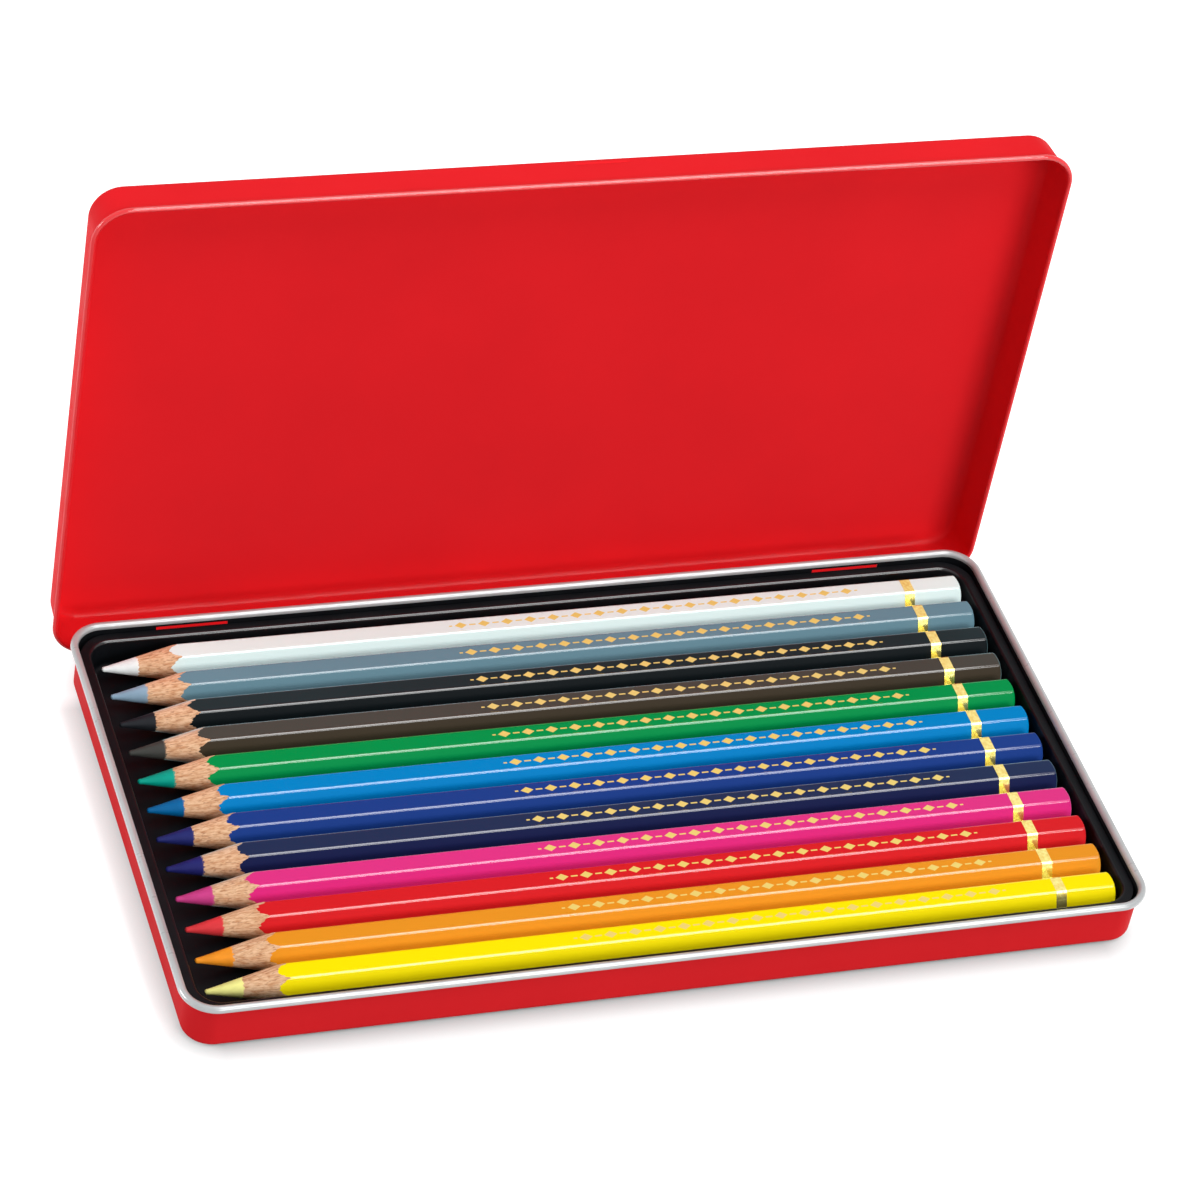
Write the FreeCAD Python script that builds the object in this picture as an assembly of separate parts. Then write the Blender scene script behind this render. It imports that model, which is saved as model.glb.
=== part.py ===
import FreeCAD, Part
import math
import os

from FreeCAD import Vector

# All sizes are in millimetres. The tin stands on z = 0 with its middle at the origin, pencils along X with
# their tips towards -X, hinge at the back (+Y). The lid is drawn closed and then turned open.

# Pencils, from the hinge to the front
pencil_names = ["white", "slate", "black", "brown", "green", "sky",
                "blue", "navy", "magenta", "red", "orange", "yellow"]
pencil_length = 175.0
pencil_side = 3.7
pencil_edge_round = 0.55
pencil_gap = 0.33
sharpened_half_angle = 12.5
tip_radius = 0.35
lead_radius = 1.8
lead_end_cover = 2.5
rear_dome = 1.0
band_width = 2.1
band_from_end = 10.7
foil_thickness = 0.06

# Black tray
tray_sheet = 0.5
tray_floor_top = 3.3
pencil_rest_gap = 0.03
tip_room = 1.92
end_room = 1.02
side_room = 1.32
well_corner = 4.5
well_draft_angle = 4.0
ledge_top = 9.0
ledge_width = 2.08
ledge_edge_round = 0.6
well_foot_round = 1.0
foot_width = 8.0
first_foot_from_tip = 30.0
foot_end_room = 0.4

# Base pan
tin_sheet = 0.25
tray_clearance = 0.2
base_inner_corner = 5.25
base_foot_round = 1.5
base_bead_radius = 0.75
base_rim_top = 11.05
curl_angle = 290.0

# Hinge
hinge_height = 2.6
hinge_spacing = 133.6
hinge_off_middle = -1.3
window_width = 14.0
window_under_bead = 0.05
tongue_side_slit = 0.3
tongue_wrap_angle = 200.0
hinge_running_clearance = 0.05
slot_side_clearance = 0.4
slot_reach = 1.75

# Lid
lid_bead_radius = 0.5
lid_corner = 6.8
lid_panel_round = 1.8
lid_flare_angle = 3.2
lid_side_clearance = 0.36
lid_top_clearance = 0.46
open_angle = 90.0

# Snap catch pressed into the lid's front wall, just under the base's bead when the lid is shut
catch_length = 10.6
catch_off_middle = 2.0
catch_groove_radius = 0.6
catch_depth = 0.2
catch_under_bead = 0.15

# Sizes worked out from the ones above
pencil_apothem = pencil_side * math.cos(math.radians(30))
corner_loss = pencil_edge_round * (1 / math.cos(math.radians(30)) - 1)
pencil_across = 2 * (pencil_side - corner_loss)
pencil_pitch = pencil_across + 2 * foil_thickness + pencil_gap
last_pencil_y = pencil_pitch * (len(pencil_names) - 1) / 2
pencil_axis_z = tray_floor_top + pencil_rest_gap + pencil_apothem

well_half_x = (pencil_length + tip_room + end_room) / 2
well_half_y = last_pencil_y + pencil_across / 2 + side_room
tip_x = -well_half_x + tip_room
band_x = tip_x + pencil_length - band_from_end - band_width / 2

base_wall_half_x = well_half_x + ledge_width + tray_clearance
base_wall_half_y = well_half_y + ledge_width + tray_clearance
base_bead_half_x = base_wall_half_x + base_bead_radius
base_bead_half_y = base_wall_half_y + base_bead_radius
base_bead_z = base_rim_top - base_bead_radius

# The lid's wall leans out towards its bead. Where it passes the base's bead it clears it by the side clearance.
flare = math.radians(lid_flare_angle)
lid_curl_mid = lid_bead_radius - tin_sheet / 2
wall_foot_x = -lid_curl_mid * math.cos(flare)
wall_foot_z = hinge_height - lid_curl_mid * math.sin(flare)
wall_inner_at_base_bead = (wall_foot_x - (base_bead_z - wall_foot_z) * math.tan(flare)
                           - tin_sheet / 2 / math.cos(flare))
lid_bead_half_x = base_bead_half_x + base_bead_radius + lid_side_clearance - wall_inner_at_base_bead
lid_bead_half_y = base_bead_half_y + base_bead_radius + lid_side_clearance - wall_inner_at_base_bead
lid_panel_mid_z = base_rim_top + lid_top_clearance + tin_sheet / 2
hinge_y = lid_bead_half_y
tongue_width = window_width - 2 * tongue_side_slit
hinge_places = [hinge_off_middle - hinge_spacing / 2, hinge_off_middle + hinge_spacing / 2]


# A bent strip of sheet, as a face in the XZ plane. The middle line is walked from start: a move of one number
# is a straight length, a move of two is a bend of that radius and angle, left if positive.
def strip_face(start, heading, moves, thickness):
    point = Vector(start[0], 0, start[1])
    angle = math.radians(heading)
    sides = {thickness / 2: [], -thickness / 2: []}

    def beside(place, direction, offset):
        return place + Vector(-math.sin(direction), 0, math.cos(direction)) * offset

    for move in moves:
        if len(move) == 1:
            end = point + Vector(math.cos(angle), 0, math.sin(angle)) * move[0]
            for offset, edges in sides.items():
                line = Part.LineSegment(beside(point, angle, offset), beside(end, angle, offset))
                edges.append(line.toShape())
        else:
            radius, turn = move
            sense = math.copysign(1, turn)
            centre = beside(point, angle, sense * radius)
            stops = [angle + math.radians(turn) * share for share in (0, 0.5, 1)]
            for offset, edges in sides.items():
                arc = Part.Arc(*[beside(centre, stop, offset - sense * radius) for stop in stops])
                edges.append(arc.toShape())
            angle = stops[-1]
            end = beside(centre, angle, -sense * radius)
        point = end
    left, right = sides.values()
    caps = []
    for place in (0, -1):
        caps.append(Part.makeLine(left[place].Vertexes[place].Point, right[place].Vertexes[place].Point))
    return Part.Face(Part.Wire(Part.__sortEdges__(left + right + caps)))


# A face drawn in XZ is carried round a rounded rectangle. Its x = 0 follows the rectangle, x > 0 is outside.
def carried_round(face, half_x, half_y, corner):
    up = Vector(0, 0, 1)
    section = face.copy()
    section.translate(Vector(corner, 0, 0))
    quarter = section.revolve(Vector(0, 0, 0), up, 90)
    corner_x = half_x - corner
    corner_y = half_y - corner
    centres = [(corner_x, corner_y), (-corner_x, corner_y), (-corner_x, -corner_y), (corner_x, -corner_y)]
    run_lengths = [2 * corner_y, 2 * corner_x, 2 * corner_y, 2 * corner_x]
    pieces = []
    for side, (centre, length) in enumerate(zip(centres, run_lengths)):
        for piece in (quarter.copy(), section.extrude(Vector(0, -length, 0))):
            piece.rotate(Vector(0, 0, 0), up, 90 * side)
            piece.translate(Vector(centre[0], centre[1], 0))
            pieces.append(piece)
    return pieces[0].multiFuse(pieces[1:])


# A flat plate with rounded corners between two heights.
def round_plate(half_x, half_y, corner, low, high):
    plate = Part.makeBox(2 * half_x, 2 * half_y, high - low, Vector(-half_x, -half_y, low))
    uprights = [edge for edge in plate.Edges if abs(edge.Vertexes[0].Z - edge.Vertexes[1].Z) > (high - low) / 2]
    return plate.makeFillet(corner, uprights)


# A box centred on (x, y) between two heights.
def centred_box(size_x, size_y, low, high, x, y):
    return Part.makeBox(size_x, size_y, high - low, Vector(x - size_x / 2, y - size_y / 2, low))


def write(shape, node):
    solid = shape.removeSplitter()
    if len(solid.Solids) == 1:
        solid = solid.Solids[0]
    print(node, "solids", len(solid.Solids), "valid", solid.isValid(), "volume", round(solid.Volume, 3))
    solid.exportStep("parts/" + node + ".step")


# Pan of bent sheet with a flat floor: the section starts on the floor, one bend radius inside the wall.
def base_pan():
    bend = base_foot_round - tin_sheet / 2
    curl = base_bead_radius - tin_sheet / 2
    wall_mid = -curl
    floor_edge = wall_mid - bend
    wall_height = base_bead_z - tin_sheet / 2 - bend
    bead_corner = base_inner_corner + base_bead_radius
    floor_reach = (bead_corner + floor_edge) / 2
    section = strip_face((floor_edge - floor_reach, tin_sheet / 2), 0,
                         [(floor_reach,), (bend, 90), (wall_height,), (curl, -curl_angle)], tin_sheet)
    rim = carried_round(section, base_bead_half_x, base_bead_half_y, bead_corner)
    plate_inset = floor_reach - floor_edge
    plate = round_plate(base_bead_half_x - plate_inset, base_bead_half_y - plate_inset,
                        bead_corner - plate_inset, 0, tin_sheet)
    pan = rim.fuse(plate)

    wrap = lid_bead_radius + hinge_running_clearance + tin_sheet / 2
    tongue_mid_z = hinge_height - wrap
    window_low = tongue_mid_z + tin_sheet / 2
    window_high = base_bead_z - base_bead_radius - window_under_bead
    wall_mid_y = base_bead_half_y + wall_mid
    strip = strip_face((wall_mid_y, tongue_mid_z), 0,
                       [(hinge_y - wall_mid_y,), (wrap, tongue_wrap_angle)], tin_sheet)
    strip.rotate(Vector(0, 0, 0), Vector(0, 0, 1), 90)
    for x in hinge_places:
        window = centred_box(window_width, 4 * tin_sheet, window_low, window_high, x, wall_mid_y)
        tongue = strip.extrude(Vector(tongue_width, 0, 0))
        tongue.translate(Vector(x - tongue_width / 2, 0, 0))
        pan = pan.cut(window).fuse(tongue)
    return pan


# The catch is a groove in the outside of the front wall, and the ridge that it raises inside.
def catch_tools():
    ridge_radius = catch_groove_radius + tin_sheet
    catch_z = base_bead_z - base_bead_radius - catch_under_bead
    wall_mid_y = -(lid_bead_half_y + wall_foot_x - (catch_z - wall_foot_z) * math.tan(flare))
    groove_y = wall_mid_y - tin_sheet / 2 + catch_depth - catch_groove_radius
    start = Vector(catch_off_middle - catch_length / 2, groove_y, catch_z)
    groove = Part.makeCylinder(catch_groove_radius, catch_length, start, Vector(1, 0, 0))
    ridge = Part.makeCylinder(ridge_radius, catch_length, start, Vector(1, 0, 0))
    inside = centred_box(catch_length, 2 * ridge_radius, catch_z - ridge_radius, catch_z + ridge_radius,
                         catch_off_middle, wall_mid_y + ridge_radius)
    return groove, ridge.common(inside)


# Drawn closed over the base, then turned about the middle of its back bead.
def lid_shell():
    bend = lid_panel_round - tin_sheet / 2
    drop = lid_panel_mid_z - bend * (1 - math.sin(flare)) - wall_foot_z
    wall_length = drop / math.cos(flare)
    panel_edge = -(lid_curl_mid + bend) * math.cos(flare) - wall_length * math.sin(flare)
    panel_reach = (lid_corner + panel_edge) / 2
    section = strip_face((panel_edge - panel_reach, lid_panel_mid_z), 0,
                         [(panel_reach,), (bend, lid_flare_angle - 90), (wall_length,),
                          (lid_curl_mid, curl_angle)], tin_sheet)
    rim = carried_round(section, lid_bead_half_x, lid_bead_half_y, lid_corner)
    panel_inset = panel_reach - panel_edge
    panel = round_plate(lid_bead_half_x - panel_inset, lid_bead_half_y - panel_inset,
                        lid_corner - panel_inset, lid_panel_mid_z - tin_sheet / 2,
                        lid_panel_mid_z + tin_sheet / 2)
    lid = rim.fuse(panel)

    slot_length = tongue_width + 2 * slot_side_clearance
    bead_core = Part.makeCylinder(lid_bead_radius, slot_length,
                                  Vector(-slot_length / 2, hinge_y, hinge_height), Vector(1, 0, 0))
    slot = centred_box(slot_length, 4 * lid_bead_radius, hinge_height, hinge_height + slot_reach, 0, hinge_y)
    slot = slot.cut(bead_core)
    for x in hinge_places:
        cutter = slot.copy()
        cutter.translate(Vector(x, 0, 0))
        lid = lid.cut(cutter)
    groove, ridge = catch_tools()
    lid = lid.fuse(ridge).cut(groove)
    lid.rotate(Vector(0, hinge_y, hinge_height), Vector(1, 0, 0), -open_angle)
    return lid


# Thin formed sheet: ledge, sloping wall and floor, with hollow feet pressed down to the base's floor.
def pencil_tray():
    draft = math.radians(well_draft_angle)
    well_depth = ledge_top - tray_floor_top
    tangent = math.tan(math.radians(90 - well_draft_angle) / 2)
    lip_start = ledge_edge_round * tangent
    foot_end = well_foot_round * tangent
    wall_length = well_depth / math.cos(draft) - lip_start - foot_end
    floor_edge = -well_depth * math.tan(draft) - foot_end
    floor_reach = (well_corner + floor_edge) / 2
    section = strip_face((ledge_width, ledge_top - tray_sheet / 2), 180,
                         [(ledge_width - lip_start,),
                          (ledge_edge_round - tray_sheet / 2, 90 - well_draft_angle), (wall_length,),
                          (well_foot_round + tray_sheet / 2, well_draft_angle - 90), (floor_reach,)],
                         tray_sheet)
    shell = carried_round(section, well_half_x, well_half_y, well_corner)
    floor_inset = floor_reach - floor_edge
    plate = round_plate(well_half_x - floor_inset, well_half_y - floor_inset, well_corner - floor_inset,
                        tray_floor_top - tray_sheet, tray_floor_top)
    tray = shell.fuse(plate)

    first_foot_x = tip_x + first_foot_from_tip
    hollow_half_y = last_pencil_y + pencil_side / 2 + foot_end_room
    for x in (first_foot_x, (first_foot_x + band_x) / 2, band_x):
        block = centred_box(foot_width, 2 * (hollow_half_y + tray_sheet), tin_sheet, tray_floor_top, x, 0)
        hollow = centred_box(foot_width - 2 * tray_sheet, 2 * hollow_half_y, tin_sheet + tray_sheet,
                             tray_floor_top, x, 0)
        tray = tray.fuse(block).cut(hollow)
    return tray


# Hexagonal bar along X with rounded edges and a flat facet on top.
def hexagon_bar(side, edge_round, start, length):
    points = []
    for corner in range(7):
        angle = math.radians(60 * corner)
        points.append(Vector(start, side * math.cos(angle), side * math.sin(angle)))
    bar = Part.Face(Part.makePolygon(points)).extrude(Vector(length, 0, 0))
    long_edges = [edge for edge in bar.Edges if abs(edge.Vertexes[0].X - edge.Vertexes[1].X) > length / 2]
    return bar.makeFillet(edge_round, long_edges)


# The turned shape that sharpening and dipping leave: a blunt cone at the tip, a shallow dome at the rear.
def turned_outline():
    reach = pencil_side
    cone_length = (reach - tip_radius) / math.tan(math.radians(sharpened_half_angle))
    tip_point = Vector(0, 0, 0)
    tip_edge = Vector(0, 0, tip_radius)
    cone_end = Vector(cone_length, 0, reach)
    dome_edge = Vector(pencil_length - rear_dome, 0, reach)
    dome_radius = (reach ** 2 + rear_dome ** 2) / (2 * rear_dome)
    dome_half_angle = math.asin(reach / dome_radius) / 2
    dome_middle = Vector(pencil_length - dome_radius * (1 - math.cos(dome_half_angle)), 0,
                         dome_radius * math.sin(dome_half_angle))
    dome_top = Vector(pencil_length, 0, 0)
    edges = [Part.makeLine(tip_point, tip_edge), Part.makeLine(tip_edge, cone_end),
             Part.makeLine(cone_end, dome_edge), Part.Arc(dome_edge, dome_middle, dome_top).toShape(),
             Part.makeLine(dome_top, tip_point)]
    return Part.Face(Part.Wire(edges)).revolve(tip_point, Vector(1, 0, 0), 360)


# Casing, lead and foil band of one pencil, with the tip at the origin and the axis along X.
def pencil_pieces():
    outline = turned_outline()
    core = Part.makeCylinder(lead_radius, pencil_length - lead_end_cover, Vector(0, 0, 0), Vector(1, 0, 0))
    casing = hexagon_bar(pencil_side, pencil_edge_round, 0, pencil_length).common(outline).cut(core)
    lead = core.common(outline)
    band_start = pencil_length - band_from_end - band_width
    foil_side = pencil_side + foil_thickness / math.cos(math.radians(30))
    sleeve = hexagon_bar(foil_side, pencil_edge_round + foil_thickness, band_start, band_width)
    band = sleeve.cut(hexagon_bar(pencil_side, pencil_edge_round, band_start, band_width))
    return {"casing": casing, "lead": lead, "band": band}


os.makedirs("parts", exist_ok=True)
write(base_pan(), "base_pan")
write(pencil_tray(), "pencil_tray")
write(lid_shell(), "lid_shell")
pieces = pencil_pieces()
for number, name in enumerate(pencil_names):
    seat = Vector(tip_x, last_pencil_y - number * pencil_pitch, pencil_axis_z)
    for piece_name, piece in pieces.items():
        placed = piece.copy()
        placed.translate(seat)
        write(placed, name + "_pencil_" + piece_name)
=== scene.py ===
import math

import bmesh
import bpy
import numpy as np
from mathutils import Matrix, Vector


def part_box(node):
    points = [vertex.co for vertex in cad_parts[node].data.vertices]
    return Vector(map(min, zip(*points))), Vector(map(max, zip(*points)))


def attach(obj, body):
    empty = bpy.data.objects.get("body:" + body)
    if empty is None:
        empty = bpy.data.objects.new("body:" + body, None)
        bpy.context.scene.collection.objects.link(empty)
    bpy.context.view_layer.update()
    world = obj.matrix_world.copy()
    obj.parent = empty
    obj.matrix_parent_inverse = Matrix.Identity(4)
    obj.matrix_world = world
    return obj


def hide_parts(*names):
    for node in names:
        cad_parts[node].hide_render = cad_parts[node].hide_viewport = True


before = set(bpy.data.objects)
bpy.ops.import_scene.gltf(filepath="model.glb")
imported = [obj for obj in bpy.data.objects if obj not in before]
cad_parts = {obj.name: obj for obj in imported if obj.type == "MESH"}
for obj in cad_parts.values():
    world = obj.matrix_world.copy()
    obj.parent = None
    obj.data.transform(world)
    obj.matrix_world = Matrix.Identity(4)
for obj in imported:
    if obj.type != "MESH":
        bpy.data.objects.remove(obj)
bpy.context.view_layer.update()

mm = 0.001
hair = 1e-6  # smaller than any step of a mesh
weldGap = 1e-7  # points closer than this, in metres, are one
pureWhite = (1.0, 1.0, 1.0, 1.0)
noiseBand = (0.3, 0.7)  # where most values of a noise lie
srgbCurve = {"knee": 0.04045, "slope": 12.92, "offset": 0.055, "power": 2.4}
print("frame loaded:", len(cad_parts), "nodes")


# Both corners of a box, in mm
def inMm(box):
    return [np.array(corner) / mm for corner in box]


# sRGB 0-255 to the linear colour that a socket takes: a straight line up to the knee, a power above it
def ink(red, green, blue):
    curve = srgbCurve
    share = np.array([red, green, blue]) / 255
    bent = ((share + curve["offset"]) / (1 + curve["offset"])) ** curve["power"]
    linear = np.where(share <= curve["knee"], share / curve["slope"], bent)
    return (*linear.tolist(), 1.0)


# A colour with its three channels times a share
def deepened(colour, share):
    return tuple(channel * share for channel in colour[:3]) + (1.0,)


# Puts values into a node's inputs: a socket is linked, anything else is set
def feed(tree, node, inputs):
    for key, value in inputs.items():
        if isinstance(value, bpy.types.NodeSocket):
            tree.links.new(value, node.inputs[key])
        else:
            node.inputs[key].default_value = value


# Node by kind, with its properties set and its inputs fed
def addNode(tree, kind, inputs=None, **settings):
    made = tree.nodes.new("ShaderNode" + kind)
    for key, value in settings.items():
        setattr(made, key, value)
    feed(tree, made, inputs or {})
    return made


# New material with its node tree, its shader and the piece's own coordinates
def startMaterial(name):
    material = bpy.data.materials.new(name)
    material.use_nodes = True
    tree = material.node_tree
    coords = addNode(tree, "TexCoord").outputs["Object"]
    return material, tree, tree.nodes["Principled BSDF"], coords


# Value of a mesh attribute
def markAt(tree, name):
    return addNode(tree, "Attribute", attribute_name=name).outputs["Fac"]


# Noise from 0 to 1 with scale cells to the metre, drawn out along an axis whose stretch is under 1
def noiseAt(tree, coords, scale, detail, stretch=(1, 1, 1), roughness=0.5):
    placed = addNode(tree, "Mapping", {"Vector": coords, "Scale": stretch})
    texture = addNode(tree, "TexNoise", {"Vector": placed.outputs["Vector"], "Scale": scale,
                                         "Detail": detail, "Roughness": roughness})
    return texture.outputs["Fac"]


# Straight-line remap of a socket from one band of values to another, clamped at both ends
def remap(tree, value, fromBand, toBand=(0.0, 1.0)):
    made = addNode(tree, "MapRange", {"Value": value, "From Min": fromBand[0], "From Max": fromBand[1],
                                      "To Min": toBand[0], "To Max": toBand[1]})
    return made.outputs["Result"]


# 0 below a value and 1 above it, or the reverse if falling, with a straight ramp blur wide on either side
def stepAt(tree, value, at, blur, falling=False):
    return remap(tree, value, (at - blur, at + blur), (1.0, 0.0) if falling else (0.0, 1.0))


# One operation on two sockets or numbers, or on the first alone
def mathOf(tree, operation, first, second=0.0):
    return addNode(tree, "Math", {0: first, 1: second}, operation=operation).outputs["Value"]


# Colour that goes from the first to the second as share goes from 0 to 1
def mixColour(tree, share, first, second):
    return addNode(tree, "Mix", {0: share, 6: first, 7: second}, data_type="RGBA").outputs[2]


# Normal of a surface raised by height, 0 to 1, times a distance in mm
def bumpOf(tree, height, distance):
    return addNode(tree, "Bump", {"Height": height, "Distance": distance * mm}).outputs["Normal"]


# lid and base hold a lighter and a darker copy of one red lacquer, set apart for how light falls on each:
# painted light and painted shade
redTinFinish = {"lid": ink(234, 34, 41), "base": ink(214, 33, 39), "deepen": 0.95, "specular": 0.03,
                "cloud": {"scale": 45.0, "detail": 3.0}, "patch": {"scale": 160.0, "detail": 3.0},
                "roughness": (0.46, 0.55), "rimIor": 1.6, "rimRoughness": 0.07,
                "peel": {"scale": 900.0, "detail": 1.0}, "peelHeight": 0.0015}


# Red stoving lacquer: a faint cloud in the colour, patches of roughness and fine orange peel. rimGloss is the
# weight of a clear gloss over it: full on the lid's front rim, polished by handling, less on the rest of the
# rim, faint on the fold by the hinge and nothing elsewhere.
def redLacquer(piece):
    plan = redTinFinish
    material, tree, shader, coords = startMaterial(piece + "RedLacquer")
    cloud = remap(tree, noiseAt(tree, coords, **plan["cloud"]), noiseBand)
    feed(tree, shader, {
        # plan[piece] gives the lid the lighter, lit copy of the red and the base the darker, shaded copy:
        # painted light and shade
        "Base Color": mixColour(tree, cloud, plan[piece], deepened(plan[piece], plan["deepen"])),
        "Roughness": remap(tree, noiseAt(tree, coords, **plan["patch"]), noiseBand, plan["roughness"]),
        "Specular IOR Level": plan["specular"], "Coat Weight": markAt(tree, "rimGloss"),
        "Coat IOR": plan["rimIor"], "Coat Roughness": plan["rimRoughness"],
        "Normal": bumpOf(tree, noiseAt(tree, coords, **plan["peel"]), plan["peelHeight"])})
    return material


bareTinFinish = {"colour": ink(182, 185, 186), "dull": ink(168, 171, 172), "metal": 0.15,
                 "cloud": {"scale": 120.0, "detail": 4.0}, "cloudBand": (0.35, 0.7),
                 "roughness": (0.27, 0.35), "shine": 1.0, "shineIor": 1.4, "shineRoughness": 0.1,
                 "scratch": {"scale": 1400.0, "detail": 2.0, "stretch": (0.08, 1.0, 1.0)},
                 "scratchHeight": 0.0006}


# Bare tinplate: dull clouds under a clear shine, and rolling scratches that run along the long side
def bareTin():
    plan = bareTinFinish
    material, tree, shader, coords = startMaterial("bareTin")
    cloud = remap(tree, noiseAt(tree, coords, **plan["cloud"]), plan["cloudBand"])
    scratch = noiseAt(tree, coords, **plan["scratch"])
    feed(tree, shader, {
        "Base Color": mixColour(tree, cloud, plan["colour"], plan["dull"]), "Metallic": plan["metal"],
        "Roughness": remap(tree, scratch, noiseBand, plan["roughness"]), "Coat Weight": plan["shine"],
        "Coat IOR": plan["shineIor"], "Coat Roughness": plan["shineRoughness"],
        "Normal": bumpOf(tree, scratch, plan["scratchHeight"])})
    return material


trayFinish = {"colour": ink(13, 15, 18), "worn": ink(20, 22, 25), "specular": 0.1,
              "drawn": {"scale": 90.0, "detail": 3.0}, "drawnBand": (0.4, 0.75),
              "patch": {"scale": 300.0, "detail": 3.0}, "roughness": (0.33, 0.48),
              "lipIor": 1.5, "lipRoughness": 0.12,
              "grain": {"scale": 2600.0, "detail": 1.0}, "grainHeight": 0.003}


# Black formed sheet: fine grain, slightly paler where the sheet was drawn. lipGloss is the weight of a clear
# gloss on the bend at the ledge's inner edge, full along the hinge.
def blackTray():
    plan = trayFinish
    material, tree, shader, coords = startMaterial("blackTraySheet")
    drawn = remap(tree, noiseAt(tree, coords, **plan["drawn"]), plan["drawnBand"])
    feed(tree, shader, {
        "Base Color": mixColour(tree, drawn, plan["colour"], plan["worn"]),
        "Roughness": remap(tree, noiseAt(tree, coords, **plan["patch"]), noiseBand, plan["roughness"]),
        "Specular IOR Level": plan["specular"], "Coat Weight": markAt(tree, "lipGloss"),
        "Coat IOR": plan["lipIor"], "Coat Roughness": plan["lipRoughness"],
        "Normal": bumpOf(tree, noiseAt(tree, coords, **plan["grain"]), plan["grainHeight"])})
    return material


# the lid's red is the lit copy and the base's red the shaded copy of one lacquer: painted light and shade
lidRedLit, baseRedShaded = redLacquer("lid"), redLacquer("base")
tinMetal, traySheet = bareTin(), blackTray()
print("tin finishes mixed")

sheetPlan = {"endGap": 0.2, "endShare": 6, "bendSteps": 10, "curlSteps": 40, "cornerSteps": 20,
             "alongReach": 80.0, "alongCount": 13, "acrossReach": 40.0, "acrossCount": 7}


# Distances along a straight stretch, in mm: even steps, and a point close to each end so that bends shade
# cleanly, endGap from it but no more than one part in endShare of the stretch
def runSteps(length, count):
    support = min(sheetPlan["endGap"], length / sheetPlan["endShare"])
    return np.unique(np.concatenate([[support, length - support], np.linspace(0, length, count + 1)[1:]]))


# Walks the middle line of a bent sheet from start: (length, count) is a straight stretch, (radius, degrees,
# count) a bend, left if positive. Gives the points to the left and right of the line, half a thickness
# away, as (outwards, up) in mm, and the number of the point where each move starts.
def sheetSides(start, heading, moves, thickness):
    place = np.array(start, float)
    angle = math.radians(heading)
    points, angles, starts = [place[None]], [np.array([angle])], []
    for move in moves:
        starts.append(sum(len(part) for part in points) - 1)
        if len(move) == 2:
            steps = runSteps(*move)
            angles.append(np.full(len(steps), angle))
            points.append(place + steps[:, None] * np.array([math.cos(angle), math.sin(angle)]))
        else:
            radius, turn, count = move
            sense = math.copysign(1, turn)
            centre = place + sense * radius * np.array([-math.sin(angle), math.cos(angle)])
            turned = angle + np.radians(turn) * np.arange(1, count + 1) / count
            angles.append(turned)
            points.append(centre + sense * radius * np.stack([np.sin(turned), -np.cos(turned)], 1))
            angle = turned[-1]
        place = points[-1][-1]
    middle, turned = np.concatenate(points), np.concatenate(angles)
    beside = np.stack([-np.sin(turned), np.cos(turned)], 1) * thickness / 2
    return middle + beside, middle - beside, starts


# Rounded rectangle in mm, anticlockwise from the right end of the back-right corner: points and outward
# normals, with stations at xs along front and back and at ys along the ends
def roundedPath(halfX, halfY, corner, xs, ys):
    points, normals = [], []
    straights = [np.stack([xs[::-1], np.full(len(xs), halfY)], 1),
                 np.stack([np.full(len(ys), -halfX), ys[::-1]], 1),
                 np.stack([xs, np.full(len(xs), -halfY)], 1),
                 np.stack([np.full(len(ys), halfX), ys], 1)]
    for quarter, (sideX, sideY) in enumerate([(1, 1), (-1, 1), (-1, -1), (1, -1)]):
        angle = (quarter + np.linspace(0, 1, sheetPlan["cornerSteps"] + 1)) * math.pi / 2
        normal = np.stack([np.cos(angle), np.sin(angle)], 1)
        centre = np.array([sideX * (halfX - corner), sideY * (halfY - corner)])
        points += [centre + corner * normal, straights[quarter]]
        normals += [normal, np.repeat(normal[-1:], len(straights[quarter]), 0)]
    return np.concatenate(points), np.concatenate(normals)


# Quads of a grid of vertex numbers; closed joins the last row to the first
def gridQuads(numbers, closed=False):
    if closed:
        numbers = np.concatenate([numbers, numbers[:1]])
    return np.stack([numbers[:-1, :-1], numbers[1:, :-1], numbers[1:, 1:], numbers[:-1, 1:]], -1)


# A mesh object from points in mm, quads and a material number per quad. Doubles are merged, faces turned
# outwards and creases over the angle kept sharp.
def makePiece(name, points, quads, materials, materialNumbers=None, crease=35.0, attributes=None):
    mesh = bpy.data.meshes.new(name)
    mesh.from_pydata((points * mm).tolist(), [], quads.tolist())
    if materialNumbers is not None:
        mesh.polygons.foreach_set("material_index", materialNumbers.astype(np.int32))
    for key, values in (attributes or {}).items():
        mesh.attributes.new(key, "FLOAT", "POINT").data.foreach_set("value", values.astype(np.float32))
    work = bmesh.new()
    work.from_mesh(mesh)
    bmesh.ops.remove_doubles(work, verts=work.verts, dist=weldGap)
    bmesh.ops.dissolve_degenerate(work, edges=work.edges, dist=weldGap)
    bmesh.ops.recalc_face_normals(work, faces=work.faces)
    work.to_mesh(mesh)
    work.free()
    mesh.polygons.foreach_set("use_smooth", np.ones(len(mesh.polygons), bool))
    mesh.set_sharp_from_angle(angle=math.radians(crease))
    for material in materials:
        mesh.materials.append(material)
    piece = bpy.data.objects.new(name, mesh)
    bpy.context.scene.collection.objects.link(piece)
    return piece


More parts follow.
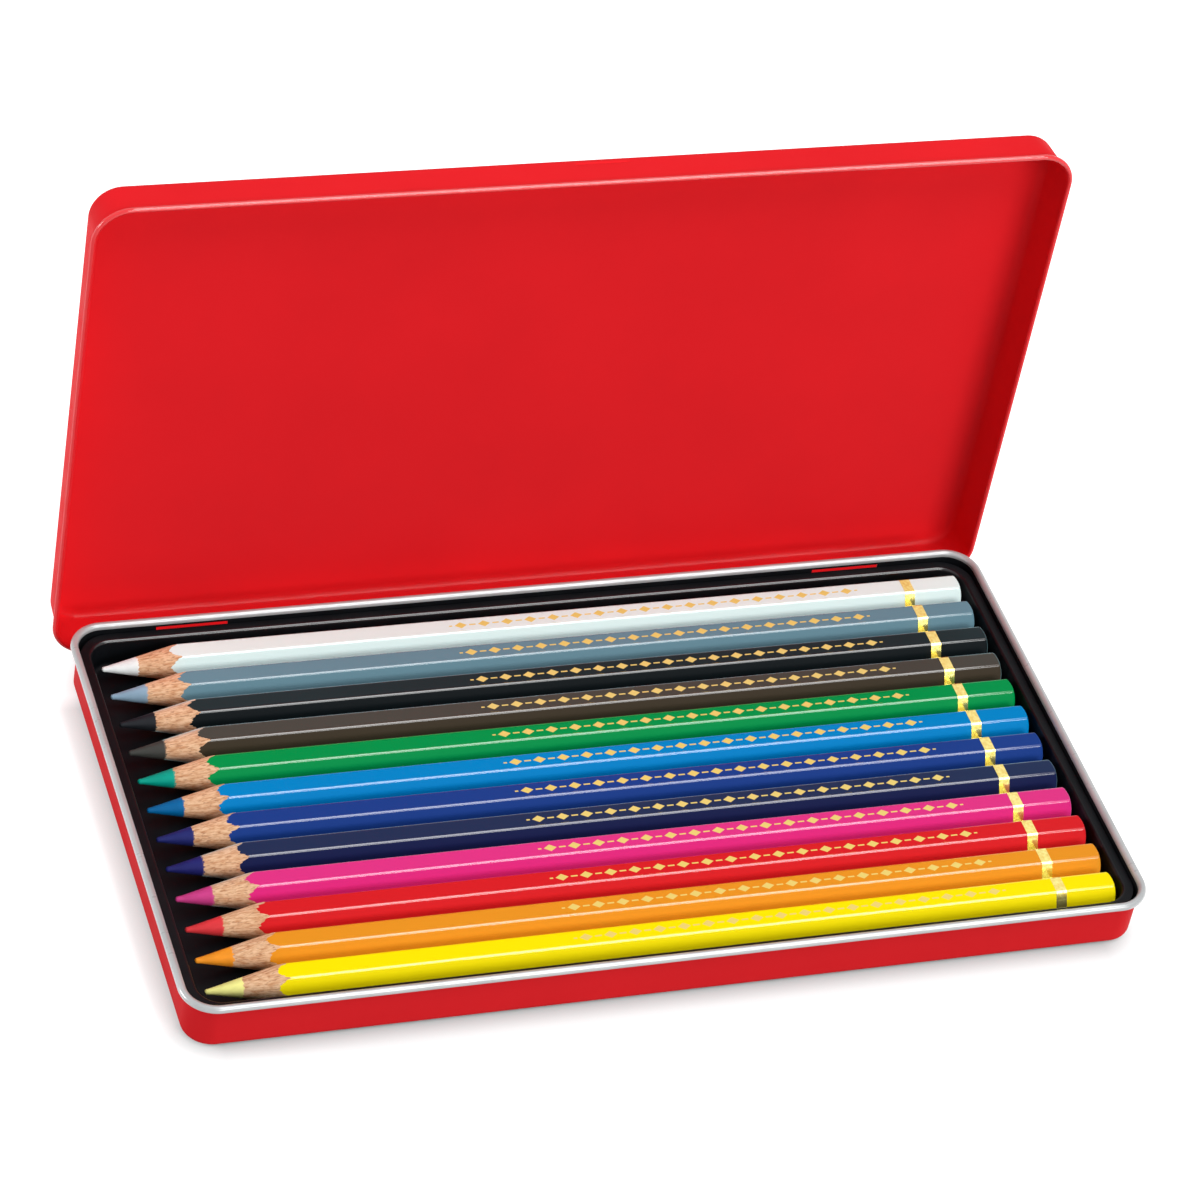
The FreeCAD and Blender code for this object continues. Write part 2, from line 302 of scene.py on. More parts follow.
# A pressed pan: the sheet's section carried round a rounded rectangle, its flat middle filled with a grid.
# The section starts where the corners shrink to points, and outline is what roundedPath takes. holes is true
# for the quads cut away, on both sides of the sheet, and the cut edges are closed. shift moves points, given
# their grid and the side, 1 for the left. rowKinds numbers the materials of the left side's rows, and the
# right side has material 1.
def pressedPan(left, right, outline, holes=None, shift=None, rowKinds=None):
    halfX, halfY, corner, xs, ys = outline
    path, normals = roundedPath(*outline)
    stations, rows = len(path), len(left)
    holes = np.zeros((stations, rows - 1), bool) if holes is None else holes
    leftKinds = np.zeros(rows - 1, int) if rowKinds is None else rowKinds

    # the grid's points in a list, shifted
    def pressed(grid, sign):
        return (grid if shift is None else grid + shift(grid, sign)).reshape(-1, 3)

    points, quads, kinds = [], [], []
    for sign, side in ((1, left), (-1, right)):
        flat = path[:, None] + normals[:, None] * side[None, :, :1]
        heights = np.repeat(side[None, :, 1:], stations, 0)
        points.append(pressed(np.concatenate([flat, heights], 2), sign))
    numbers = np.arange(2 * stations * rows).reshape(2, stations, rows)
    for side, kindRow in enumerate((leftKinds, np.ones(rows - 1, int))):
        quads.append(gridQuads(numbers[side], True)[~holes])
        kinds.append(np.repeat(kindRow[None], stations, 0)[~holes])
    ahead = np.roll(numbers, -1, 1)
    endEdge = np.stack([numbers[0, :, -1], ahead[0, :, -1], ahead[1, :, -1], numbers[1, :, -1]], -1)
    across = holes != np.roll(holes, 1, 0)
    cutAcross = np.stack([numbers[0, :, :-1], numbers[0, :, 1:], numbers[1, :, 1:], numbers[1, :, :-1]], -1)
    along = holes[:, :-1] != holes[:, 1:]
    cutAlong = np.stack([numbers[0], ahead[0], ahead[1], numbers[1]], -1)[:, 1:-1]
    for rim in (endEdge, cutAcross[across], cutAlong[along]):
        quads.append(rim)
        kinds.append(np.zeros(len(rim), int))
    fullX = np.concatenate([[corner - halfX], xs, [halfX - corner]])
    fullY = np.concatenate([[corner - halfY], ys, [halfY - corner]])
    gridX, gridY = np.meshgrid(fullX, fullY, indexing="ij")
    for kind, sign, side in ((leftKinds[0], 1, left), (1, -1, right)):
        first = sum(len(part) for part in points)
        points.append(pressed(np.stack([gridX, gridY, 0 * gridX + side[0, 1]], -1), sign))
        middle = gridQuads(first + np.arange(gridX.size).reshape(gridX.shape)).reshape(-1, 4)
        quads.append(middle)
        kinds.append(np.full(len(middle), kind))
    return np.concatenate(points), np.concatenate(quads), np.concatenate(kinds)


# Stations in mm along the straight sides of a pan: even ones, and on front and back also the given edges
def sideStations(edges, acrossCount):
    plan = sheetPlan
    even = np.linspace(-plan["alongReach"], plan["alongReach"], plan["alongCount"])
    across = np.linspace(-plan["acrossReach"], plan["acrossReach"], acrossCount)
    return np.unique(np.concatenate([edges, even])), across


# True for the spans between stations that lie between two x values on the back run of a path
def backSpans(path, halfY, low, high):
    nextX = np.roll(path[:, 0], -1)
    onBack = path[:, 1] > halfY - hair
    return onBack & (nextX > low - hair) & (path[:, 0] < high + hair) & (nextX < path[:, 0])


# 1 on the back run of a path, or on the front run if sense is -1, falling to 0 round the corners beside it
def nearRun(path, sense, halfY, corner):
    return np.clip((sense * path[:, 1] - halfY + corner) / corner, 0, 1)


basePlan = {"sheet": 0.25, "beadRadius": 0.75, "beadCorner": 6.0, "footRound": 1.5, "curl": 290.0,
            "bareRim": 0.3, "windowWidth": 14.0, "windowSpacing": 133.6, "windowShift": -1.3,
            "windowUnderBead": 0.05, "hingeHeight": 2.6, "pinRadius": 0.5, "pinClearance": 0.05,
            "tongueSlit": 0.3, "tongueWrap": 200.0, "tongueSteps": 30, "tongueStations": 5}
baseLow, baseHigh = inMm(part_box("base_pan"))
lidLow, lidHigh = inMm(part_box("lid_shell"))
beadHalfX = baseHigh[0] - basePlan["beadRadius"]
beadHalfY = -baseLow[1] - basePlan["beadRadius"]
beadZ = baseHigh[2] - basePlan["beadRadius"]
beadCurl = basePlan["beadRadius"] - basePlan["sheet"] / 2
pinY = lidLow[1] + basePlan["pinRadius"]
pinZ = basePlan["hingeHeight"]
pinWrap = basePlan["pinRadius"] + basePlan["pinClearance"] + basePlan["sheet"] / 2
windowMiddles = basePlan["windowShift"] + np.array([-0.5, 0.5]) * basePlan["windowSpacing"]


# Base: floor, rounded foot, upright wall and the rim curled outwards. The curl shows the sheet's bare side,
# and the inside below it is as black as the tray.
def buildBase():
    plan = basePlan
    sheet, windowHalf = plan["sheet"], plan["windowWidth"] / 2
    bend = plan["footRound"] - sheet / 2
    windowLow = pinZ - pinWrap + sheet / 2
    windowHigh = beadZ - plan["beadRadius"] - plan["windowUnderBead"]
    moves = [(plan["beadCorner"] - beadCurl - bend, 2), (bend, 90, sheetPlan["bendSteps"]),
             (windowLow - sheet / 2 - bend, 1), (windowHigh - windowLow, 6),
             (beadZ - plan["bareRim"] - windowHigh, 1), (plan["bareRim"], 1),
             (beadCurl, -plan["curl"], sheetPlan["curlSteps"])]
    left, right, starts = sheetSides((-plan["beadCorner"], sheet / 2), 0, moves, sheet)
    windowRow, aboveRow, bareRow = starts[3:6]
    edges = np.concatenate([windowMiddles - windowHalf, windowMiddles + windowHalf])
    outline = (beadHalfX, beadHalfY, plan["beadCorner"], *sideStations(edges, sheetPlan["acrossCount"]))
    path, _ = roundedPath(*outline)
    holes = np.zeros((len(path), len(left) - 1), bool)
    for middle in windowMiddles:
        holes[backSpans(path, beadHalfY, middle - windowHalf, middle + windowHalf), windowRow:aboveRow] = True
    materials = [tinMetal, baseRedShaded, traySheet]
    rowKinds = np.where(np.arange(len(left) - 1) < bareRow, 2, 0)
    points, quads, kinds = pressedPan(left, right, outline, holes, rowKinds=rowKinds)
    base = makePiece("base_pan_tin", points, quads, materials, kinds)
    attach(base, "base")
    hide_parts("base_pan")


# Hinge tongues: strips of the back wall that run straight out under the lid's curl and wrap it from below,
# the section of a bent sheet carried along the hinge
def buildTongues():
    plan = basePlan
    sheet, count = plan["sheet"], plan["tongueStations"]
    width = plan["windowWidth"] - 2 * plan["tongueSlit"]
    wallMiddle = beadHalfY - beadCurl
    moves = [(pinY - wallMiddle, 3), (pinWrap, plan["tongueWrap"], plan["tongueSteps"])]
    left, right, _ = sheetSides((wallMiddle, pinZ - pinWrap), 0, moves, sheet)
    half = len(left)
    loop = np.concatenate([left, right[::-1]])
    side = np.repeat([0, 1], half)
    across = np.concatenate([middle + np.linspace(-0.5, 0.5, count) * width for middle in windowMiddles])
    shape = (len(across), len(loop))
    points = np.stack([np.broadcast_to(across[:, None], shape), np.broadcast_to(loop[:, 0], shape),
                       np.broadcast_to(loop[:, 1], shape)], -1)
    numbers = np.arange(points.shape[0] * points.shape[1]).reshape(shape)
    ring = np.concatenate([numbers, numbers[:, :1]], 1)
    quads, kinds = [], []
    for strip in (ring[:count], ring[count:]):
        quads.append(gridQuads(strip).reshape(-1, 4))
        kinds.append(np.tile(side, count - 1))
        for end in (strip[0, :-1], strip[-1, :-1]):
            inner, outer = end[:half], end[half:][::-1]
            quads.append(np.stack([inner[:-1], inner[1:], outer[1:], outer[:-1]], -1))
            kinds.append(np.zeros(half - 1, int))
    tongues = makePiece("hinge_tongues", points.reshape(-1, 3), np.concatenate(quads), [tinMetal, baseRedShaded],
                        np.concatenate(kinds))
    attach(tongues, "base")


lidPlan = {"corner": 6.8, "panelRound": 1.8, "flare": 3.2, "slotClearance": 0.4, "slotReach": 1.75,
           "catchLength": 10.6, "catchMiddle": 2.0, "catchRadius": 0.6, "catchDepth": 0.2, "catchHeight": 9.4,
           "catchBand": 0.6, "catchFade": 0.8, "catchOver": 0.3, "catchStations": 41, "catchClear": 1.0,
           "rimShine": 0.4, "foldShine": 0.1}


# Lid: panel, rounded edge, wall that leans out a little and the rim curled outwards, drawn shut and then
# turned a quarter back about the pin in its back curl
def buildLid():
    plan, sheet, band = lidPlan, basePlan["sheet"], lidPlan["catchBand"]
    curl, bend = basePlan["pinRadius"] - sheet / 2, plan["panelRound"] - sheet / 2
    lean = math.radians(plan["flare"])
    panelZ = pinZ + lidHigh[1] - pinY - sheet / 2
    wallTopZ = panelZ - bend * (1 - math.sin(lean))
    wallFootZ = pinZ - curl * math.sin(lean)
    wallLength = (wallTopZ - wallFootZ) / math.cos(lean)
    panelEdge = -(curl + bend) * math.cos(lean) - wallLength * math.sin(lean)
    catchDown = (wallTopZ - plan["catchHeight"]) / math.cos(lean)
    moves = [(plan["corner"] + panelEdge, 2), (bend, plan["flare"] - 90, sheetPlan["bendSteps"]),
             (catchDown - band, 1), (2 * band, 24), (wallLength - catchDown - band - plan["slotReach"], 3),
             (plan["slotReach"], 2), (curl, basePlan["curl"], sheetPlan["curlSteps"])]
    left, right, starts = sheetSides((-plan["corner"], panelZ), 0, moves, sheet)
    foldRow, wallRow, slotRow, rimRow = starts[1], starts[2], starts[5], starts[6]
    halfX, halfY = lidHigh[0] - basePlan["pinRadius"], pinY
    slotHalf = basePlan["windowWidth"] / 2 - basePlan["tongueSlit"] + plan["slotClearance"]
    catchShares = np.linspace(-0.5, 0.5, plan["catchStations"])
    catchSpan = plan["catchMiddle"] + catchShares * (plan["catchLength"] + plan["catchFade"])
    edges = np.concatenate([windowMiddles - slotHalf, windowMiddles + slotHalf, catchSpan])
    outline = (halfX, halfY, plan["corner"], *sideStations(edges, sheetPlan["acrossCount"]))
    path, _ = roundedPath(*outline)
    holes = np.zeros((len(path), len(left) - 1), bool)
    for middle in windowMiddles:
        holes[backSpans(path, halfY, middle - slotHalf, middle + slotHalf), slotRow:rimRow] = True

    # Groove of the snap catch in the front wall: a shallow cylinder that fades out at its ends along a smooth
    # step, both sides of the sheet pushed in alike
    def pressCatch(grid, sign):
        fromMiddle = np.abs(grid[..., 0] - plan["catchMiddle"])
        ends = np.clip((plan["catchLength"] / 2 + plan["catchOver"] - fromMiddle) / plan["catchFade"], 0, 1)
        radius = plan["catchRadius"] + (0 if sign > 0 else sheet)
        chord = np.sqrt(np.clip(radius ** 2 - (grid[..., 2] - plan["catchHeight"]) ** 2, 0, None))
        depth = np.clip(chord - (radius - plan["catchDepth"]), 0, None) * ends ** 2 * (3 - 2 * ends)
        onFront = grid[..., 1] < plan["catchClear"] - halfY
        belowPanel = grid[..., 2] < panelZ - plan["catchClear"]
        depth = np.where(onFront & belowPanel, depth, 0)
        return np.stack([0 * depth, depth, 0 * depth], -1)

    points, quads, _ = pressedPan(left, right, outline, holes, pressCatch)
    turned = np.stack([points[:, 0], pinY + points[:, 2] - pinZ, pinZ - points[:, 1] + pinY], 1)
    rows = np.arange(len(left))
    onRim, onFold = rows > rimRow, (rows > foldRow) & (rows < wallRow)
    rimShine = plan["rimShine"] + (1 - plan["rimShine"]) * nearRun(path, -1, halfY, plan["corner"])
    foldShine = plan["foldShine"] * nearRun(path, 1, halfY, plan["corner"])
    shine = np.zeros((2, len(path), len(left)))
    shine[:, :, onRim] = rimShine[:, None]
    shine[1][:, onFold] = foldShine[:, None]  # inner side only
    flat = np.zeros(len(points) - shine.size)
    lid = makePiece("lid_shell_tin", turned, quads, [lidRedLit],
                    attributes={"rimGloss": np.concatenate([shine.ravel(), flat])})
    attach(lid, "lid")
    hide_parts("lid_shell")


trayPlan = {"sheet": 0.5, "corner": 4.5, "draft": 4.0, "edgeRound": 0.6, "footRound": 1.0, "floorTop": 3.3,
            "ledgeWidth": 2.08, "footWidth": 8.0, "footDraft": 0.3, "firstFoot": 30.0, "endRoom": 0.4,
            "acrossCount": 9, "lipShine": 0.2}


# Tray: floor, rounded foot, sloping wall, rounded lip and ledge, with three troughs pressed down as feet
def buildTray():
    plan = trayPlan
    sheet, footDraft = plan["sheet"], plan["footDraft"]
    trayLow, trayHigh = inMm(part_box("pencil_tray"))
    bandLow, bandHigh = inMm(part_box("white_pencil_band"))
    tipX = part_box("white_pencil_lead")[0].x / mm
    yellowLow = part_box("yellow_pencil_casing")[0].y / mm
    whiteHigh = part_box("white_pencil_casing")[1].y / mm
    halfX, halfY = trayHigh[0] - plan["ledgeWidth"], trayHigh[1] - plan["ledgeWidth"]
    depth = trayHigh[2] - plan["floorTop"]
    draft = math.radians(plan["draft"])
    tangent = math.tan((math.pi / 2 - draft) / 2)
    lipStart, footEnd = plan["edgeRound"] * tangent, plan["footRound"] * tangent
    wallLength = depth / math.cos(draft) - lipStart - footEnd
    floorEdge = -depth * math.tan(draft) - footEnd
    footReach = (whiteHigh - yellowLow) / 2 - pencilPlan["side"] / 2 + plan["endRoom"]
    footEdges = footReach + np.array([-footDraft, 0, sheet - footDraft, sheet])
    floorRuns = np.diff(np.concatenate([[-plan["corner"]], np.sort(footEdges) - halfY, [floorEdge]]))
    moves = [(run, 1) for run in floorRuns]
    moves += [(plan["footRound"] + sheet / 2, 90 - plan["draft"], sheetPlan["bendSteps"]), (wallLength, 2),
              (plan["edgeRound"] - sheet / 2, plan["draft"] - 90, sheetPlan["bendSteps"]),
              (plan["ledgeWidth"] - lipStart, 2)]
    left, right, starts = sheetSides((-plan["corner"], plan["floorTop"] - sheet / 2), 0, moves, sheet)
    lipRow, ledgeRow = starts[-2:]
    bandX = (bandLow[0] + bandHigh[0]) / 2
    firstFoot = tipX + plan["firstFoot"]
    feet = np.array([firstFoot, (firstFoot + bandX) / 2, bandX])
    footDepth = plan["floorTop"] - sheet - trayLow[2]
    halfWidths = plan["footWidth"] / 2 - np.array([footDraft, 0, sheet + footDraft, sheet])
    edges = (feet[:, None] + np.concatenate([halfWidths, -halfWidths])).ravel()
    outline = (halfX, halfY, plan["corner"], *sideStations(edges, plan["acrossCount"]))

    # Trough depth: full inside each foot, falling to nothing over its sloping sides and ends. The top side's
    # trough is one sheet narrower all round.
    def pressFeet(grid, sign):
        narrower = sheet if sign > 0 else 0
        fromFoot = np.abs(grid[..., :1] - feet).min(-1)
        side = np.clip((plan["footWidth"] / 2 - narrower - fromFoot) / footDraft, 0, 1)
        end = np.clip((footReach + sheet - narrower - np.abs(grid[..., 1])) / footDraft, 0, 1)
        onFloor = grid[..., 2] < plan["floorTop"] + hair
        return np.stack([0 * side, 0 * side, -np.minimum(side, end) * footDepth * onFloor], -1)

    points, quads, _ = pressedPan(left, right, outline, shift=pressFeet)
    path, _ = roundedPath(*outline)
    shine = plan["lipShine"] + (1 - plan["lipShine"]) * nearRun(path, 1, halfY, plan["corner"])
    lipGloss = np.zeros(len(points))
    topRows = lipGloss[:len(path) * len(left)].reshape(len(path), len(left))
    topRows[:, lipRow + 1:ledgeRow] = shine[:, None]
    tray = makePiece("pencil_tray_sheet", points, quads, [traySheet], attributes={"lipGloss": lipGloss})
    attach(tray, "base")
    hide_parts("pencil_tray")


pencilColours = {
    "white": {"lacquer": ink(223, 241, 238), "pigment": ink(248, 253, 252), "haze": 0.0},
    "slate": {"lacquer": ink(100, 136, 150), "pigment": ink(142, 172, 194), "haze": 0.15},
    "black": {"lacquer": ink(7, 10, 14), "pigment": ink(30, 33, 38), "haze": 1.1},
    "brown": {"lacquer": ink(61, 48, 34), "pigment": ink(66, 67, 64), "haze": 1.4},
    "green": {"lacquer": ink(0, 145, 73), "pigment": ink(0, 160, 140), "haze": 0.0},
    "sky": {"lacquer": ink(0, 131, 198), "pigment": ink(0, 102, 162), "haze": 0.0},
    "blue": {"lacquer": ink(26, 60, 136), "pigment": ink(34, 40, 108), "haze": 0.12},
    "navy": {"lacquer": ink(14, 22, 70), "pigment": ink(32, 34, 104), "haze": 0.95},
    "magenta": {"lacquer": ink(217, 38, 127), "pigment": ink(204, 64, 136), "haze": 0.7},
    "red": {"lacquer": ink(209, 31, 37), "pigment": ink(224, 58, 64), "haze": 0.05},
    "orange": {"lacquer": ink(225, 145, 34), "pigment": ink(252, 156, 40), "haze": 0.05},
    "yellow": {"lacquer": ink(248, 227, 5), "pigment": ink(250, 246, 150), "haze": 0.0}}
stampPlan = {"start": 68.0, "length": 84.6, "period": 4.7, "lozengeLength": 1.25, "lozengeWidth": 0.85,
             "barWidth": 0.16, "barGap": 0.45, "endBlur": 0.02, "sideBlur": 0.03, "lozengeBlur": 0.04,
             "gold": ink(230, 210, 116), "metal": 0.1}


# Stamped gold chain on the top facet: lozenges a period apart, with a thin bar between each two. A point lies
# in a lozenge if its distances from the middle, along and across, each divided by the half size, add up to
# less than 1.
def goldStamp(tree):
    plan = stampPlan
    along = mathOf(tree, "SUBTRACT", markAt(tree, "fromTip"), plan["start"])
    across = mathOf(tree, "ABSOLUTE", markAt(tree, "stampAcross"))
    inside = mathOf(tree, "MULTIPLY", stepAt(tree, along, 0.0, plan["endBlur"]),
                    stepAt(tree, along, plan["length"], plan["endBlur"], True))
    cell = mathOf(tree, "MODULO", along, plan["period"])
    fromMiddle = mathOf(tree, "ABSOLUTE", mathOf(tree, "SUBTRACT", cell, plan["period"] / 2))
    reach = mathOf(tree, "ADD", mathOf(tree, "DIVIDE", fromMiddle, plan["lozengeLength"]),
                   mathOf(tree, "DIVIDE", across, plan["lozengeWidth"]))
    lozenge = stepAt(tree, reach, 1.0, plan["lozengeBlur"], True)
    barStart = plan["lozengeLength"] + plan["barGap"]
    bar = mathOf(tree, "MULTIPLY", stepAt(tree, fromMiddle, barStart, plan["endBlur"]),
                 stepAt(tree, across, plan["barWidth"], plan["sideBlur"], True))
    return mathOf(tree, "MULTIPLY", inside, mathOf(tree, "MAXIMUM", lozenge, bar))


casingFinish = {"pale": ink(227, 188, 152), "grainColour": ink(199, 145, 105),
                "poreColour": ink(158, 100, 65), "woodRoughness": 0.72, "lacquerRoughness": 0.35,
                "specular": 0.04, "edgeIor": 1.65, "edgeRoughness": 0.1,
                "hazeTint": (0.5, 0.92, 1.0, 1.0), "hazeRoughness": 0.4,
                "teeth": {"scale": 2200.0, "detail": 3.0, "stretch": (0.15, 1.0, 1.0)}, "toothSize": 0.4,
                "lacquerBlur": 0.03, "grainBand": (0.4, 0.64),
                "grain": {"scale": 2600.0, "detail": 3.0, "stretch": (0.05, 1.0, 1.0), "roughness": 0.6},
                "pores": {"scale": 3400.0, "detail": 1.0, "stretch": (0.16, 1.0, 1.0)},
                "poreBand": (0.58, 0.68), "poreShare": 0.6, "smudge": 0.5, "smudgeBand": (0.35, 0.7),
                "smearBand": (-0.02, 0.06), "smearShare": 0.85,
                "grainHeight": 0.6, "lacquerHeight": 0.95, "fullHeight": 0.035}


# Casing: gloss lacquer, and bare cedar ahead of the ragged edge that sharpening leaves. fromLacquer is the
# distance behind that edge in mm, fromLead the distance behind the lead, where pigment smears the wood, and
# hexEdge is 1 on the rounded edges, which catch the light. The darker lacquers have a pale haze.
def casingMaterial(name, colours):
    plan = casingFinish
    material, tree, shader, coords = startMaterial(name + "Casing")
    teeth = noiseAt(tree, coords, **plan["teeth"])
    tooth = remap(tree, teeth, noiseBand, (-plan["toothSize"], plan["toothSize"]))
    behindEdge = mathOf(tree, "ADD", markAt(tree, "fromLacquer"), tooth)
    lacquered = stepAt(tree, behindEdge, 0.0, plan["lacquerBlur"])
    grain = noiseAt(tree, coords, **plan["grain"])
    wood = mixColour(tree, remap(tree, grain, plan["grainBand"]), plan["pale"], plan["grainColour"])
    pores = remap(tree, noiseAt(tree, coords, **plan["pores"]), plan["poreBand"], (0.0, plan["poreShare"]))
    wood = mixColour(tree, pores, wood, plan["poreColour"])
    smudge = remap(tree, teeth, plan["smudgeBand"], (0.0, plan["smudge"]))
    smear = mathOf(tree, "SUBTRACT", smudge, markAt(tree, "fromLead"))
    smeared = remap(tree, smear, plan["smearBand"], (0.0, plan["smearShare"]))
    wood = mixColour(tree, smeared, wood, colours["pigment"])
    painted = mixColour(tree, lacquered, wood, colours["lacquer"])
    stamped = goldStamp(tree)
    cut = remap(tree, grain, (0.0, 1.0), (0.0, plan["grainHeight"]))
    height = addNode(tree, "Mix", {0: lacquered, 2: cut, 3: plan["lacquerHeight"]}, data_type="FLOAT")
    feed(tree, shader, {
        "Base Color": mixColour(tree, stamped, painted, stampPlan["gold"]),
        "Roughness": remap(tree, lacquered, (0.0, 1.0), (plan["woodRoughness"], plan["lacquerRoughness"])),
        "Metallic": mathOf(tree, "MULTIPLY", stamped, stampPlan["metal"]),
        "Specular IOR Level": plan["specular"], "Sheen Weight": colours["haze"],
        "Sheen Roughness": plan["hazeRoughness"], "Sheen Tint": plan["hazeTint"],
        "Coat Weight": mathOf(tree, "MULTIPLY", markAt(tree, "hexEdge"), lacquered),
        "Coat IOR": plan["edgeIor"], "Coat Roughness": plan["edgeRoughness"],
        "Normal": bumpOf(tree, height.outputs[0], plan["fullHeight"])})
    return material


pigmentFinish = {"deepen": 0.84, "roughness": 0.5, "specular": 0.15, "cloudBand": (0.35, 0.7),
                 "cloud": {"scale": 700.0, "detail": 3.0, "stretch": (0.35, 1.0, 1.0)},
                 "rings": {"scale": 2200.0, "detail": 2.0, "stretch": (1.0, 0.3, 0.3)}, "ringHeight": 0.012}


# Waxy pigment: soft clouds and fine rings from the sharpener
def pigmentMaterial(name, colours):
    plan, pigment = pigmentFinish, colours["pigment"]
    material, tree, shader, coords = startMaterial(name + "Pigment")
    cloud = remap(tree, noiseAt(tree, coords, **plan["cloud"]), plan["cloudBand"])
    feed(tree, shader, {
        "Base Color": mixColour(tree, cloud, pigment, deepened(pigment, plan["deepen"])),
        "Roughness": plan["roughness"], "Specular IOR Level": plan["specular"],
        "Normal": bumpOf(tree, noiseAt(tree, coords, **plan["rings"]), plan["ringHeight"])})
    return material


# metal and roughness are those of the bright facets and of the stamped one
foilFinish = {"bright": ink(242, 234, 148), "deep": ink(228, 204, 102), "metal": (0.8, 0.2),
              "roughness": (0.14, 0.5), "cloud": {"scale": 1600.0, "detail": 3.0}, "cloudBand": (0.35, 0.7),
              "crinkle": {"scale": 900.0, "detail": 2.0}, "crinkleHeight": 0.01}


# Hot-stamped gold foil with a slight crinkle. onStamp is 1 on the top facet, which the stamp left dull.
def goldFoil():
    plan = foilFinish
    material, tree, shader, coords = startMaterial("goldFoil")
    cloud = remap(tree, noiseAt(tree, coords, **plan["cloud"]), plan["cloudBand"])
    onStamp = markAt(tree, "onStamp")
    feed(tree, shader, {
        "Base Color": mixColour(tree, cloud, plan["bright"], plan["deep"]),
        "Metallic": remap(tree, onStamp, (0.0, 1.0), plan["metal"]),
        "Roughness": remap(tree, onStamp, (0.0, 1.0), plan["roughness"]),
        "Normal": bumpOf(tree, noiseAt(tree, coords, **plan["crinkle"]), plan["crinkleHeight"])})
    return material


pencilPlan = {"side": 3.7, "edgeRound": 0.55, "coneAngle": 12.5, "tipRadius": 0.35, "tipBall": 0.51053,
              "leadRadius": 1.8, "leadGap": 0.01, "leadGapStart": 0.3, "rearDome": 1.0, "rearRound": 0.4,
              "foil": 0.06, "edgeRoom": 0.5, "edgeShares": (0.08, 0.3, 0.6, 1.0),
              "domeShares": (0.85, 0.7, 0.5, 0.25, 0.0), "crease": 50.0, "flatCount": 10, "roundCount": 6,
              "coneSteps": 12, "bodySteps": 11, "rearSteps": 7, "tipSteps": 8, "leadSteps": 14,
              "circleSteps": 48}


# Rounded hexagon as points round the axis, (y, z) in mm: six arcs of edgeRound about the corners of a smaller
# hexagon, joined by flats
def hexagonRing(side, edgeRound):
    plan = pencilPlan
    inner = side - edgeRound / math.cos(math.pi / 6)
    middles = np.arange(6) * math.pi / 3
    normals = middles[:, None] + np.linspace(-1, 1, plan["roundCount"] + 1) * math.pi / 6
    centres = inner * np.stack([np.cos(middles), np.sin(middles)], -1)
    arcs = centres[:, None] + edgeRound * np.stack([np.cos(normals), np.sin(normals)], -1)
    ends, nextStarts = arcs[:, -1], np.roll(arcs[:, 0], -1, 0)
    share = np.linspace(0, 1, plan["flatCount"] + 1)[1:-1, None]
    flats = ends[:, None] + share * (nextStarts - ends)[:, None]
    return np.concatenate([arcs, flats], 1).reshape(-1, 2)


# Closed tube from the tip's place along x: each row is a radius and a distance from the tip, one for all
# directions or one for each. Gives points, quads and the distances.
def tubeOf(rows, directions, seat):
    count = len(directions)
    radii = np.stack([np.broadcast_to(radius, count) for radius, _ in rows])
    along = np.stack([np.broadcast_to(distance, count) for _, distance in rows])
    points = seat + np.stack([along, radii * directions[:, 0], radii * directions[:, 1]], -1)
    numbers = np.arange(radii.size).reshape(radii.shape)
    quads = gridQuads(np.concatenate([numbers, numbers[:, :1]], 1)).reshape(-1, 4)
    return points.reshape(-1, 3), quads, along


# Even shares of a stretch, the last one 1
def evenShares(count):
    return np.linspace(0, 1, count + 1)[1:]


# Distance from the tip where the sharpened cone has a radius: the radius past the tip's over the slope
def coneAt(radius):
    return (radius - pencilPlan["tipRadius"]) / math.tan(math.radians(pencilPlan["coneAngle"]))


# Distance from the tip where the rear dome has a radius: the cap of a ball, rearDome high on a radius of side
def domeAt(radius, length):
    side, rise = pencilPlan["side"], pencilPlan["rearDome"]
    ball = (side ** 2 + rise ** 2) / (2 * rise)
    return length - ball + np.sqrt(ball ** 2 - radius ** 2)


